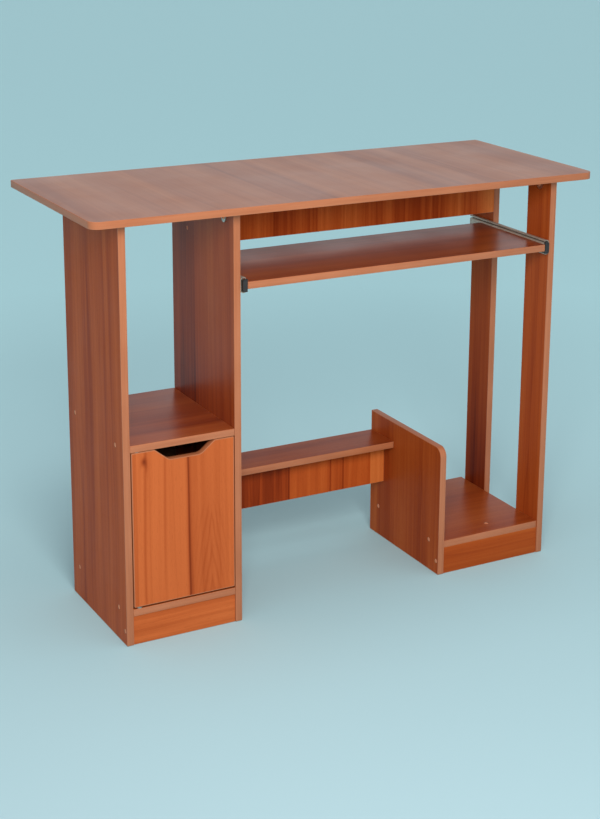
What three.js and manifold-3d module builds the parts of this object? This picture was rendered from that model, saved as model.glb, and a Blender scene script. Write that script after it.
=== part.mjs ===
// Flat-pack computer desk: a tabletop on a narrow cabinet at the left and two legs at the right,
// with a keyboard tray on ball slides, a footrest and a low bay for a computer case.
// Millimetres. +Z up, +Y to the back, +X to the right. The origin is on the floor, under the
// middle of the tabletop.
import * as THREE from "three";
import { mergeVertices } from "three/addons/utils/BufferGeometryUtils.js";
import Module from "manifold-3d";

const wasm = await Module();
wasm.setup();

// ---- driving dimensions ----
const HEIGHT = 750;
const TOP_WIDTH = 976;
const TOP_DEPTH = 392;
const BOARD = 12.5; // every laminated board
const CORNER_RADIUS = 18; // front corners of the tabletop and of the bay's side panel
const BACK_CORNER_RADIUS = 4; // back corners of the tabletop
const SIDE_OVERHANG = 57.5; // tabletop past the outer faces of the cabinet and the legs
const FRONT_OVERHANG = 34.5; // tabletop past the front edges of the panels
const PANEL_DEPTH = 255;
const CABINET_INSIDE = 191.5; // clear width between the cabinet's two sides
const KNEE_WIDTH = 407; // clear width from the cabinet to the computer bay
const LEG_WIDTH = 72.5;
const SHELF_RISE = 53; // floor to the underside of the two low shelves
const MID_SHELF_RISE = 346.5;
const PLINTH_SETBACK = 2;
const BACK_PANEL = 3; // hardboard behind the closed part of the cabinet
const APRON_BOTTOM = 640;
const BAY_SIDE_HEIGHT = 250.5;
const BAY_SHELF_PAST_BACK = 13.5; // the bay's shelf runs on behind the rear leg

const FOOTREST_FRONT = 6.5;
const FOOTREST_DEPTH = 83;
const FOOTREST_RISE = 199;
const STRETCHER_FRONT = 41;
const STRETCHER_BOTTOM = 118.5;

const DOOR_LEFT_GAP = 2;
const DOOR_RIGHT_GAP = 1.5;
const DOOR_TOP_GAP = 1;
const DOOR_BOTTOM_GAP = 3;
const DOOR_PIVOT_INSET = 12.5; // from the cabinet side's inner face to the pivot line
const GRIP_TOP_HALF = 55; // finger cut-out: half widths at the door's edge and at its foot
const GRIP_FOOT_HALF = 29;
const GRIP_DEPTH = 21;
const GRIP_ROUND = 15;
const GRIP_SHIFT = 3; // from the door's middle, away from its pivots

const TRAY_GAP = 11.5; // each side, filled by a slide
const TRAY_DEPTH = 215;
const TRAY_RISE = 603;
const TRAY_PROUD = 4.5; // tray's front edge ahead of the panels
const SLIDE_LENGTH = 250;
const SLIDE_SETBACK = 0.5;
const SLIDE_HALF_HEIGHT = 13.5;
const SLIDE_DEPTH = 9.5;
const RUNNER_HALF_HEIGHT = 8.9;
const STEEL = 1;
const CAGE_LENGTH = 110;
const CAGE_FRONT = -60;
const BUMPER_LENGTH = 4;
const BUMPER_HALF_HEIGHT = 11;

const SCREW_LENGTH = 40;
const SHORT_SCREW_LENGTH = 10; // the one in the top of the bay's shelf
const SCREW_HEAD_RADIUS = 4;
const SCREW_SHANK_RADIUS = 2.25;
const SCREW_HEAD_DEPTH = 3;
const SCREW_HEAD_RIM = 0.7;
const SCREW_SUNK = 0.2; // the head's face lies just under the board's
const SCREW_CLEARANCE = 0.3;
const SCREW_FRONT_INSET = 35;
const SCREW_BACK_INSET = 32;
const BAY_SCREW_FROM_LEG = 93; // the short screw's place on the bay's shelf
const BAY_SCREW_INSET = 37.5;
const ROUND = 10; // facets round a screw

const PIN_RADIUS = 2.5;
const PIN_REACH = 10; // into the door's edge
const SPIGOT_RADIUS = 3;
const SPIGOT_REACH = 8; // into the shelf
const COLLAR_RADIUS = 6;
const PIN_CLEARANCE = 0.4;
const PIN_FACETS = 16;

const BRACKET_WIDTH = 15;
const BRACKET_LEG = 25;
const BRACKET_PLATE = 2;
const BRACKET_HOLE = 2.25;

const CATCH_WIDTH = 28;
const CATCH_DEPTH = 15;
const CATCH_HEIGHT = 12;
const CATCH_FROM_SIDE = 5.5;
const STRIKE_PLATE = 1;
const STRIKE_HEIGHT = 16;
const STRIKE_GAP = 0.5;

// ---- places worked out from them ----
const UNDER_TOP = HEIGHT - BOARD;
const FRONT = -TOP_DEPTH / 2 + FRONT_OVERHANG;
const BACK = FRONT + PANEL_DEPTH;
const OUTER = TOP_WIDTH / 2 - SIDE_OVERHANG;
const CABINET_LEFT_FACE = -OUTER + BOARD;
const CABINET_RIGHT_FACE = CABINET_LEFT_FACE + CABINET_INSIDE;
const KNEE_LEFT = CABINET_RIGHT_FACE + BOARD;
const KNEE_RIGHT = KNEE_LEFT + KNEE_WIDTH;
const BAY_LEFT = KNEE_RIGHT + BOARD;
const LEG_FACE = OUTER - BOARD;
const REAR_LEG_FRONT = BACK - LEG_WIDTH;
const SCREW_FRONT_Y = FRONT + SCREW_FRONT_INSET;
const SCREW_BACK_Y = BACK - SCREW_BACK_INSET;
const PLINTH_MID_Y = FRONT + PLINTH_SETBACK + BOARD / 2;
const TRAY_FRONT = FRONT - TRAY_PROUD;
const SLIDE_MIDDLE_Z = TRAY_RISE + BOARD / 2;
const DOOR_BOTTOM = SHELF_RISE + BOARD + DOOR_BOTTOM_GAP;
const DOOR_TOP = MID_SHELF_RISE - DOOR_TOP_GAP;
const PIVOT_X = CABINET_LEFT_FACE + DOOR_PIVOT_INSET;
const PIVOT_Y = FRONT + BOARD / 2;

// ---- finishes ----
const FINISHES = {
  laminate: { color: 0x9b4a26, roughness: 0.38, metalness: 0 },
  doorLaminate: { color: 0xb8602c, roughness: 0.38, metalness: 0 },
  hardboard: { color: 0x5a3a28, roughness: 0.8, metalness: 0 },
  zinc: { color: 0xb9bcbd, roughness: 0.32, metalness: 1 },
  nickel: { color: 0xc9b28c, roughness: 0.35, metalness: 1 },
  blackPlastic: { color: 0x1f1b1a, roughness: 0.55, metalness: 0 },
  whitePlastic: { color: 0xd9cfc0, roughness: 0.5, metalness: 0 },
};

const desk = new THREE.Group();

function addMesh(name, geometry, finish, position = [0, 0, 0]) {
  const mesh = new THREE.Mesh(geometry, new THREE.MeshStandardMaterial(FINISHES[finish]));
  mesh.name = name;
  mesh.position.set(...position);
  desk.add(mesh);
  return mesh;
}

// ---- solids: joining and cutting ----
function toSolid(geometry) {
  const bare = geometry.index ? geometry.toNonIndexed() : geometry.clone();
  bare.deleteAttribute("normal");
  bare.deleteAttribute("uv");
  const merged = mergeVertices(bare, 1e-4);
  return new wasm.Manifold(
    new wasm.Mesh({
      numProp: 3,
      vertProperties: merged.attributes.position.array,
      triVerts: new Uint32Array(merged.index.array),
    }),
  );
}

function toGeometry(solid) {
  const mesh = solid.getMesh();
  const points = new Float32Array(mesh.numVert * 3);
  for (let i = 0; i < mesh.numVert; i += 1) {
    points.set(mesh.vertProperties.subarray(i * mesh.numProp, i * mesh.numProp + 3), i * 3);
  }
  const indexed = new THREE.BufferGeometry();
  indexed.setAttribute("position", new THREE.BufferAttribute(points, 3));
  indexed.setIndex(new THREE.BufferAttribute(mesh.triVerts, 1));
  const geometry = indexed.toNonIndexed();
  geometry.computeVertexNormals();
  return geometry;
}

// Turns a shape drawn in two row axes, extruded along a third, into its place.
function extrudeAlong(shape, length, axes, curveSegments = 6) {
  const geometry = new THREE.ExtrudeGeometry(shape, {
    depth: length,
    bevelEnabled: false,
    curveSegments,
  });
  return geometry.applyMatrix4(new THREE.Matrix4().makeBasis(...axes));
}

const X = new THREE.Vector3(1, 0, 0);
const Y = new THREE.Vector3(0, 1, 0);
const Z = new THREE.Vector3(0, 0, 1);
const MINUS_X = X.clone().negate();
const MINUS_Y = Y.clone().negate();

function turned(profile, facets) {
  return new THREE.LatheGeometry(profile.map(([r, h]) => new THREE.Vector2(r, h)), facets);
}

// ---- holes that the boards take ----
const cutters = [];

function addCutter(geometry, matrix) {
  const placed = geometry.clone().applyMatrix4(matrix);
  placed.computeBoundingBox();
  cutters.push({ solid: toSolid(placed), box: placed.boundingBox });
}

// A board, drilled for each fastener and pin that reaches into it.
function addBoard(name, geometry, finish, position) {
  const placed = geometry.clone().translate(...position);
  placed.computeBoundingBox();
  const reached = cutters.filter((cutter) => cutter.box.intersectsBox(placed.boundingBox));
  if (reached.length === 0) {
    return addMesh(name, geometry, finish, position);
  }
  const back = position.map((value) => -value);
  const drilled = reached.reduce(
    (solid, cutter) => solid.subtract(cutter.solid.translate(back)),
    toSolid(geometry),
  );
  return addMesh(name, toGeometry(drilled), finish, position);
}

function addPlainBoard(name, x, y, z, finish = "laminate") {
  const spans = [x, y, z];
  const sizes = spans.map(([low, high]) => high - low);
  const middle = spans.map(([low, high]) => (low + high) / 2);
  return addBoard(name, new THREE.BoxGeometry(...sizes), finish, middle);
}

// ---- flat-head screws ----
function screwProfile(extra, start, length) {
  return [
    [0, start],
    [SCREW_HEAD_RADIUS + extra, start],
    [SCREW_HEAD_RADIUS + extra, SCREW_HEAD_RIM],
    [SCREW_SHANK_RADIUS + extra, SCREW_HEAD_DEPTH],
    [SCREW_SHANK_RADIUS + extra, length - 2],
    [0, length],
  ];
}

const DRIVES = {
  right: new THREE.Euler(0, 0, -Math.PI / 2),
  left: new THREE.Euler(0, 0, Math.PI / 2),
  down: new THREE.Euler(-Math.PI / 2, 0, 0),
};

function addScrew(name, position, drive, length = SCREW_LENGTH) {
  const screw = turned(screwProfile(0, SCREW_SUNK, length), ROUND);
  const hole = turned(screwProfile(SCREW_CLEARANCE, -1, length + 1), ROUND);
  const mesh = addMesh(name, screw, "nickel", position);
  mesh.rotation.copy(DRIVES[drive]);
  mesh.updateMatrix();
  addCutter(hole, mesh.matrix);
}

function addScrewRow(name, face, drive, places) {
  places.forEach(([y, z], i) => addScrew(`${name}_${i + 1}`, [face, y, z], drive));
}

const lowShelfZ = SHELF_RISE + BOARD / 2;
const midShelfZ = MID_SHELF_RISE + BOARD / 2;
const plinthZ = SHELF_RISE / 2 - 1;
const footrestZ = FOOTREST_RISE + BOARD / 2;
const shelfScrews = (z) => [[SCREW_FRONT_Y, z], [SCREW_BACK_Y, z]];
const cabinetScrews = [...shelfScrews(midShelfZ), ...shelfScrews(lowShelfZ), [PLINTH_MID_Y, plinthZ]];
const bayScrews = [...shelfScrews(lowShelfZ), [PLINTH_MID_Y, plinthZ]];
const footrestScrews = [
  [FOOTREST_FRONT + 18, footrestZ],
  [FOOTREST_FRONT + FOOTREST_DEPTH - 18, footrestZ],
];
const apronScrews = [32, 65].map((up) => [REAR_LEG_FRONT + BOARD / 2, APRON_BOTTOM + up]);

addScrewRow("cabinet_left_screw", -OUTER, "right", cabinetScrews);
addScrewRow("cabinet_right_screw", KNEE_LEFT, "left", cabinetScrews);
addScrewRow("apron_left_screw", CABINET_RIGHT_FACE, "right", apronScrews);
addScrewRow("apron_right_screw", OUTER, "left", apronScrews);
addScrewRow("footrest_left_screw", CABINET_RIGHT_FACE, "right", footrestScrews);
addScrewRow("footrest_right_screw", BAY_LEFT, "left", footrestScrews);
addScrewRow("bay_side_screw", KNEE_RIGHT, "right", bayScrews);
addScrewRow("leg_screw", OUTER, "left", bayScrews);
const bayScrewPlace = [LEG_FACE - BAY_SCREW_FROM_LEG, FRONT + BAY_SCREW_INSET, SHELF_RISE + BOARD];
addScrew("bay_shelf_screw", bayScrewPlace, "down", SHORT_SCREW_LENGTH);

// ---- door pivots: a spigot in the shelf, a collar in the gap and a pin in the door's edge ----
function addPivot(name, shelfFace, up, gap) {
  const pin = turned(
    [
      [0, -SPIGOT_REACH],
      [SPIGOT_RADIUS, -SPIGOT_REACH],
      [SPIGOT_RADIUS, 0],
      [COLLAR_RADIUS, 0],
      [COLLAR_RADIUS, gap - 0.5],
      [PIN_RADIUS, gap - 0.5],
      [PIN_RADIUS, gap + PIN_REACH],
      [0, gap + PIN_REACH],
    ],
    PIN_FACETS,
  );
  const mesh = addMesh(name, pin, "zinc", [PIVOT_X, PIVOT_Y, shelfFace]);
  mesh.rotation.x = up ? Math.PI / 2 : -Math.PI / 2;
  mesh.updateMatrix();
  const radius = SPIGOT_RADIUS + PIN_CLEARANCE;
  const bore = new THREE.CylinderGeometry(radius, radius, SPIGOT_REACH + 1, PIN_FACETS);
  addCutter(bore.translate(0, -SPIGOT_REACH / 2, 0), mesh.matrix);
  const doorBore = new THREE.CylinderGeometry(radius, radius, PIN_REACH + 1.5, PIN_FACETS);
  addCutter(doorBore.translate(0, gap + PIN_REACH / 2, 0), mesh.matrix);
}

addPivot("door_lower_pivot", SHELF_RISE + BOARD, true, DOOR_BOTTOM_GAP);
addPivot("door_upper_pivot", MID_SHELF_RISE, false, DOOR_TOP_GAP);

// ---- tabletop ----
function topOutline() {
  const x = TOP_WIDTH / 2;
  const y = TOP_DEPTH / 2;
  const front = CORNER_RADIUS;
  const back = BACK_CORNER_RADIUS;
  const shape = new THREE.Shape();
  shape.absarc(x - back, y - back, back, 0, Math.PI / 2);
  shape.absarc(-x + back, y - back, back, Math.PI / 2, Math.PI);
  shape.absarc(-x + front, -y + front, front, Math.PI, 1.5 * Math.PI);
  shape.absarc(x - front, -y + front, front, 1.5 * Math.PI, 2 * Math.PI);
  return shape;
}

addBoard("tabletop", extrudeAlong(topOutline(), BOARD, [X, Y, Z]), "laminate", [0, 0, UNDER_TOP]);

// ---- cabinet ----
const cabinetX = [CABINET_LEFT_FACE, CABINET_RIGHT_FACE];
const panelY = [FRONT, BACK];
const plinthY = [FRONT + PLINTH_SETBACK, FRONT + PLINTH_SETBACK + BOARD];
addPlainBoard("cabinet_left_panel", [-OUTER, CABINET_LEFT_FACE], panelY, [0, UNDER_TOP]);
addPlainBoard("cabinet_right_panel", [CABINET_RIGHT_FACE, KNEE_LEFT], panelY, [0, UNDER_TOP]);
addPlainBoard("cabinet_mid_shelf", cabinetX, panelY, [MID_SHELF_RISE, MID_SHELF_RISE + BOARD]);
addPlainBoard("cabinet_bottom_shelf", cabinetX, panelY, [SHELF_RISE, SHELF_RISE + BOARD]);
addPlainBoard("cabinet_plinth", cabinetX, plinthY, [0, SHELF_RISE]);
addPlainBoard(
  "cabinet_back_panel",
  cabinetX,
  [BACK - BACK_PANEL, BACK],
  [SHELF_RISE + BOARD, MID_SHELF_RISE],
  "hardboard",
);

// ---- cabinet door, with the finger cut-out in its top edge ----
function doorOutline(left, right, bottom, top) {
  const middle = (left + right) / 2 + GRIP_SHIFT;
  const foot = top - GRIP_DEPTH;
  const slope = Math.hypot(GRIP_TOP_HALF - GRIP_FOOT_HALF, GRIP_DEPTH);
  const alongX = (GRIP_ROUND * (GRIP_TOP_HALF - GRIP_FOOT_HALF)) / slope;
  const alongZ = (GRIP_ROUND * GRIP_DEPTH) / slope;
  const shape = new THREE.Shape();
  shape.moveTo(left, bottom);
  shape.lineTo(right, bottom);
  shape.lineTo(right, top);
  shape.lineTo(middle + GRIP_TOP_HALF, top);
  shape.lineTo(middle + GRIP_FOOT_HALF + alongX, foot + alongZ);
  shape.quadraticCurveTo(
    middle + GRIP_FOOT_HALF,
    foot,
    middle + GRIP_FOOT_HALF - GRIP_ROUND,
    foot,
  );
  shape.lineTo(middle - GRIP_FOOT_HALF + GRIP_ROUND, foot);
  shape.quadraticCurveTo(
    middle - GRIP_FOOT_HALF,
    foot,
    middle - GRIP_FOOT_HALF - alongX,
    foot + alongZ,
  );
  shape.lineTo(middle - GRIP_TOP_HALF, top);
  shape.lineTo(left, top);
  return shape;
}

const doorX = [CABINET_LEFT_FACE + DOOR_LEFT_GAP, CABINET_RIGHT_FACE - DOOR_RIGHT_GAP];
const doorShape = doorOutline(...doorX, DOOR_BOTTOM, DOOR_TOP);
addBoard(
  "cabinet_door",
  extrudeAlong(doorShape, BOARD, [X, Z, MINUS_Y]),
  "doorLaminate",
  [0, FRONT + BOARD, 0],
);

// ---- magnetic catch under the mid shelf and its strike plate on the door ----
const catchX = [
  CABINET_RIGHT_FACE - CATCH_FROM_SIDE - CATCH_WIDTH,
  CABINET_RIGHT_FACE - CATCH_FROM_SIDE,
];
const strikeY = [FRONT + BOARD, FRONT + BOARD + STRIKE_PLATE];
const catchY = [strikeY[1] + STRIKE_GAP, strikeY[1] + STRIKE_GAP + CATCH_DEPTH];
const strikeTop = DOOR_TOP - 1.5;
const catchZ = [MID_SHELF_RISE - CATCH_HEIGHT, MID_SHELF_RISE];
addPlainBoard("magnetic_catch", catchX, catchY, catchZ, "blackPlastic");
addPlainBoard("catch_strike_plate", catchX, strikeY, [strikeTop - STRIKE_HEIGHT, strikeTop], "zinc");

// ---- apron rail under the back of the knee space ----
addPlainBoard(
  "apron_rail",
  [KNEE_LEFT, LEG_FACE],
  [REAR_LEG_FRONT, REAR_LEG_FRONT + BOARD],
  [APRON_BOTTOM, UNDER_TOP],
);

// ---- footrest: a flat board over an upright stretcher ----
const kneeX = [KNEE_LEFT, KNEE_RIGHT];
addPlainBoard(
  "footrest_board",
  kneeX,
  [FOOTREST_FRONT, FOOTREST_FRONT + FOOTREST_DEPTH],
  [FOOTREST_RISE, FOOTREST_RISE + BOARD],
);
addPlainBoard(
  "footrest_stretcher",
  kneeX,
  [STRETCHER_FRONT, STRETCHER_FRONT + BOARD],
  [STRETCHER_BOTTOM, FOOTREST_RISE],
);

// ---- computer bay and the right legs ----
function baySide() {
  const shape = new THREE.Shape();
  shape.moveTo(FRONT, 0);
  shape.lineTo(BACK, 0);
  shape.lineTo(BACK, BAY_SIDE_HEIGHT);
  shape.lineTo(FRONT + CORNER_RADIUS, BAY_SIDE_HEIGHT);
  shape.absarc(
    FRONT + CORNER_RADIUS,
    BAY_SIDE_HEIGHT - CORNER_RADIUS,
    CORNER_RADIUS,
    Math.PI / 2,
    Math.PI,
  );
  return extrudeAlong(shape, BOARD, [Y, Z, X]);
}

const bayX = [BAY_LEFT, LEG_FACE];
const bayShelfY = [FRONT + PLINTH_SETBACK, BACK + BAY_SHELF_PAST_BACK];
const legX = [LEG_FACE, OUTER];
addBoard("bay_side_panel", baySide(), "laminate", [KNEE_RIGHT, 0, 0]);
addPlainBoard("bay_shelf", bayX, bayShelfY, [SHELF_RISE, SHELF_RISE + BOARD]);
addPlainBoard("bay_plinth", bayX, plinthY, [0, SHELF_RISE]);
addPlainBoard("rear_right_leg", legX, [REAR_LEG_FRONT, BACK], [0, UNDER_TOP]);
addPlainBoard("front_right_leg", legX, [FRONT, FRONT + LEG_WIDTH], [0, UNDER_TOP]);

// ---- angle brackets that hold the tabletop ----
// One arm of a bracket: a strip with a rounded, drilled end, in the plane of its two axes.
function bracketArm(axes) {
  const half = BRACKET_WIDTH / 2;
  const shape = new THREE.Shape();
  shape.moveTo(-half, 0);
  shape.lineTo(half, 0);
  shape.lineTo(half, BRACKET_LEG - half);
  shape.absarc(0, BRACKET_LEG - half, half, 0, Math.PI);
  const hole = new THREE.Path();
  hole.absarc(0, BRACKET_LEG - half - 1, BRACKET_HOLE, 0, 2 * Math.PI, true);
  shape.holes.push(hole);
  return extrudeAlong(shape, BRACKET_PLATE, axes, 5);
}

function addBracket(name, face, side, y) {
  const down = new THREE.Vector3(0, 0, -1);
  const inwards = side > 0 ? X : MINUS_X;
  const across = side > 0 ? MINUS_Y : Y;
  const upright = toSolid(bracketArm([across, down, inwards]));
  const flat = toSolid(bracketArm([across, inwards, Z]).translate(0, 0, -BRACKET_PLATE));
  const whole = upright.add(flat);
  addMesh(name, toGeometry(whole), "zinc", [face, y, UNDER_TOP]);
}

[SCREW_FRONT_Y, SCREW_BACK_Y].forEach((y, i) => {
  const end = ["front", "rear"][i];
  addBracket(`top_bracket_left_${end}`, CABINET_LEFT_FACE, 1, y);
  addBracket(`top_bracket_middle_${end}`, CABINET_RIGHT_FACE, -1, y);
  addBracket(`top_bracket_right_${end}`, LEG_FACE, -1, y);
});

// ---- keyboard tray ----
addPlainBoard(
  "keyboard_tray",
  [KNEE_LEFT + TRAY_GAP, LEG_FACE - TRAY_GAP],
  [TRAY_FRONT, TRAY_FRONT + TRAY_DEPTH],
  [TRAY_RISE, TRAY_RISE + BOARD],
);

// ---- ball slides, drawn as (distance from the fixed face, height from the slide's middle) ----
function arc(centreU, centreZ, radius, from, to, steps = 4) {
  return Array.from({ length: steps + 1 }, (_, i) => {
    const angle = ((from + ((to - from) * i) / steps) * Math.PI) / 180;
    return new THREE.Vector2(centreU + radius * Math.cos(angle), centreZ + radius * Math.sin(angle));
  });
}

// A strip of sheet of one thickness, bent along a middle line.
function bentSheet(line, thickness) {
  const offset = (side) =>
    line.map((point, i) => {
      const before = line[Math.max(i - 1, 0)];
      const after = line[Math.min(i + 1, line.length - 1)];
      const first = point.clone().sub(before).normalize();
      const second = after.clone().sub(point).normalize();
      const along = first.add(second).normalize();
      const turn = i > 0 && i < line.length - 1 ? Math.abs(along.dot(second)) : 1;
      const reach = (side * thickness) / 2 / turn;
      return new THREE.Vector2(point.x - along.y * reach, point.y + along.x * reach);
    });
  return new THREE.Shape([...offset(-1), ...offset(1).reverse()]);
}

// Lays out half of a channel section and mirrors it about the slide's middle.
function mirrored(upper) {
  const lower = upper.map((point) => new THREE.Vector2(point.x, -point.y)).reverse();
  return [...upper, ...lower];
}

function channelSection() {
  const web = STEEL / 2;
  const flange = SLIDE_HALF_HEIGHT - STEEL / 2;
  const bend = 4;
  const lip = SLIDE_DEPTH - STEEL / 2;
  const upper = [
    new THREE.Vector2(lip, flange - 2),
    ...arc(lip - 1, flange - 1, 1, 0, 90, 2),
    ...arc(web + bend, flange - bend, bend, 90, 180),
  ];
  return bentSheet(mirrored(upper), STEEL);
}

function runnerSection() {
  const web = TRAY_GAP - STEEL / 2;
  const flange = RUNNER_HALF_HEIGHT - STEEL / 2;
  const bend = 2;
  const upper = [
    new THREE.Vector2(4.5, flange),
    ...arc(web - bend, flange - bend, bend, 90, 0, 3),
  ];
  return bentSheet(mirrored(upper), STEEL);
}

function cageSection() {
  const arm = (SLIDE_HALF_HEIGHT - STEEL + RUNNER_HALF_HEIGHT) / 2;
  const upper = [new THREE.Vector2(7.5, arm), new THREE.Vector2(2.6, arm)];
  return bentSheet(mirrored(upper), 0.8);
}

function bumperSection() {
  const shape = new THREE.Shape();
  const half = BUMPER_HALF_HEIGHT;
  const low = 2.5;
  const high = TRAY_GAP - 0.5;
  const radius = 4;
  shape.absarc(low + radius, half - radius, radius, Math.PI / 2, Math.PI);
  shape.absarc(low + radius, -half + radius, radius, Math.PI, 1.5 * Math.PI);
  shape.lineTo(high, -half);
  shape.lineTo(high, half);
  return shape;
}

const SLIDE_FRONT = FRONT + SLIDE_SETBACK;
const BUMPER_BACK = TRAY_FRONT + BUMPER_LENGTH;
const slidePieces = [
  ["slide_channel", channelSection(), SLIDE_FRONT, SLIDE_LENGTH, "zinc"],
  ["slide_runner", runnerSection(), BUMPER_BACK, SLIDE_LENGTH - 2, "zinc"],
  ["slide_ball_cage", cageSection(), CAGE_FRONT, CAGE_LENGTH, "zinc"],
  ["slide_bumper", bumperSection(), TRAY_FRONT, BUMPER_LENGTH, "blackPlastic"],
];

for (const [name, section, front, length, finish] of slidePieces) {
  const left = extrudeAlong(section, length, [X, Z, MINUS_Y], 4);
  addMesh(`left_${name}`, left, finish, [KNEE_LEFT, front + length, SLIDE_MIDDLE_Z]);
  const right = extrudeAlong(section, length, [MINUS_X, Z, Y], 4);
  addMesh(`right_${name}`, right, finish, [LEG_FACE, front, SLIDE_MIDDLE_Z]);
}

export default desk;
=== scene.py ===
import math

import bmesh
import bpy
from mathutils import Matrix, Vector
from mathutils.geometry import tessellate_polygon


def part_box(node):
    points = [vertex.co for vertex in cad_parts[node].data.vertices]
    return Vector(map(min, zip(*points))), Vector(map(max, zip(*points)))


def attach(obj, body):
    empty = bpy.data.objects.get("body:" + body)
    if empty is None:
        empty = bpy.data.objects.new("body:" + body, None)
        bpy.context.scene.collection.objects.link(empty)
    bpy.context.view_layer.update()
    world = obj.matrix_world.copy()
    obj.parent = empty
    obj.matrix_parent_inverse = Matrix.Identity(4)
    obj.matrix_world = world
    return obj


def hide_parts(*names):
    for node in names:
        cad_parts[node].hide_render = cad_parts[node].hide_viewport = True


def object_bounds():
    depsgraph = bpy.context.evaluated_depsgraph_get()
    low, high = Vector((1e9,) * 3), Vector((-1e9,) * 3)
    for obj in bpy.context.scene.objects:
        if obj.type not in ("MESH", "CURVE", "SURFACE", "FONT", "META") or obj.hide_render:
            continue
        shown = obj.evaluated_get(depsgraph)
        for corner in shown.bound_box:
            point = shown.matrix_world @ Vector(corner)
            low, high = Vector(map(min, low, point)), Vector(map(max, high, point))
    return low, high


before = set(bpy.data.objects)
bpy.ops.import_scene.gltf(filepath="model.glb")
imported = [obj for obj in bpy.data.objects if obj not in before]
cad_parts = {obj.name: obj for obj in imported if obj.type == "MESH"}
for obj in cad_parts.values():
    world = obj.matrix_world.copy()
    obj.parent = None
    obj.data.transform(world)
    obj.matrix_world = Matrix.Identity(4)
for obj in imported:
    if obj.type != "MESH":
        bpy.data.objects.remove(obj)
CAD_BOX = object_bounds()
MM = 0.001
X, Y, Z = range(3)
SCENE = bpy.context.scene

# ---------------------------------------------------------------- node helpers


class Nodes:
    """A material's node tree, with short names for the nodes that it is built from."""

    def __init__(self, name):
        self.material = bpy.data.materials.new(name)
        self.material.use_nodes = True
        self.tree = self.material.node_tree
        self.tree.nodes.clear()
        self.shader = self.new("BsdfPrincipled")
        self.link(self.shader.outputs[0], self.new("OutputMaterial").inputs["Surface"])

    def new(self, kind, **settings):
        node = self.tree.nodes.new("ShaderNode" + kind)
        for key, value in settings.items():
            setattr(node, key, value)
        return node

    def link(self, source, target):
        self.tree.links.new(source, target)

    def put(self, target, value):
        if isinstance(value, bpy.types.NodeSocket):
            self.link(value, target)
        else:
            target.default_value = value

    def math(self, operation, a, b=None, clamp=False):
        node = self.new("Math", operation=operation, use_clamp=clamp)
        for socket, value in zip(node.inputs, (a, b)):
            if value is not None:
                self.put(socket, value)
        return node.outputs[0]

    def add(self, a, b, clamp=False):
        return self.math("ADD", a, b, clamp)

    def subtract(self, a, b):
        return self.math("SUBTRACT", a, b)

    def multiply(self, a, b):
        return self.math("MULTIPLY", a, b)

    def combine(self, x, y, z):
        node = self.new("CombineXYZ")
        for socket, value in zip(node.inputs, (x, y, z)):
            self.put(socket, value)
        return node.outputs[0]

    def object_place(self):
        return self.new("TexCoord").outputs["Object"]

    def noise(self, vector, scale=1.0, detail=2.0, roughness=0.5, distortion=0.0):
        node = self.new("TexNoise", noise_dimensions="3D")
        self.link(vector, node.inputs["Vector"])
        node.inputs["Scale"].default_value = scale
        node.inputs["Detail"].default_value = detail
        node.inputs["Roughness"].default_value = roughness
        node.inputs["Distortion"].default_value = distortion
        return node.outputs["Fac"]

    def ramp(self, value, stops):
        node = self.new("ValToRGB")
        elements = node.color_ramp.elements
        while len(elements) < len(stops):
            elements.new(0.5)
        for element, (place, color) in zip(elements, stops):
            element.position = place
            element.color = (*color, 1.0)
        self.link(value, node.inputs["Fac"])
        return node.outputs["Color"]

    def mix(self, factor, a, b):
        node = self.new("Mix", data_type="RGBA", clamp_result=False)
        self.put(node.inputs["Factor"], factor)
        for name, value in (("A", a), ("B", b)):
            socket = [s for s in node.inputs if s.name == name and s.type == "RGBA"][0]
            self.put(socket, (*value, 1.0) if isinstance(value, tuple) else value)
        return [s for s in node.outputs if s.type == "RGBA"][0]

    def span(self, value, low, high, to_low=0.0, to_high=1.0):
        """value's place between low and high, put between to_low and to_high."""
        node = self.new("MapRange", clamp=True)
        self.put(node.inputs["Value"], value)
        ends = {"From Min": low, "From Max": high, "To Min": to_low, "To Max": to_high}
        for name, number in ends.items():
            node.inputs[name].default_value = number
        return node.outputs["Result"]

    def bump(self, height, distance, strength):
        node = self.new("Bump")
        node.inputs["Strength"].default_value = strength
        node.inputs["Distance"].default_value = distance
        self.link(height, node.inputs["Height"])
        self.link(node.outputs["Normal"], self.shader.inputs["Normal"])

    def set(self, **values):
        for key, value in values.items():
            self.put(self.shader.inputs[key.replace("_", " ")], value)

    def gauss(self, value, centre, width):
        """A soft bump of height 1 where value is near centre."""
        off = self.math("DIVIDE", self.subtract(value, centre), width)
        return self.math("EXPONENT", self.multiply(self.multiply(off, off), -1.0))

    def window(self, value, low, high):
        """1 where value lies between low and high, with soft edges."""
        soft = 0.5 * MM
        risen = self.span(value, low - soft, low + soft)
        return self.multiply(risen, self.span(value, high - soft, high + soft, 1.0, 0.0))


# ---------------------------------------------------------------- woodgrain

# "grain" on each board's corners holds metres along the grain, metres across it, and a number of
# the board's own that picks its stretch of the printed pattern.


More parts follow.
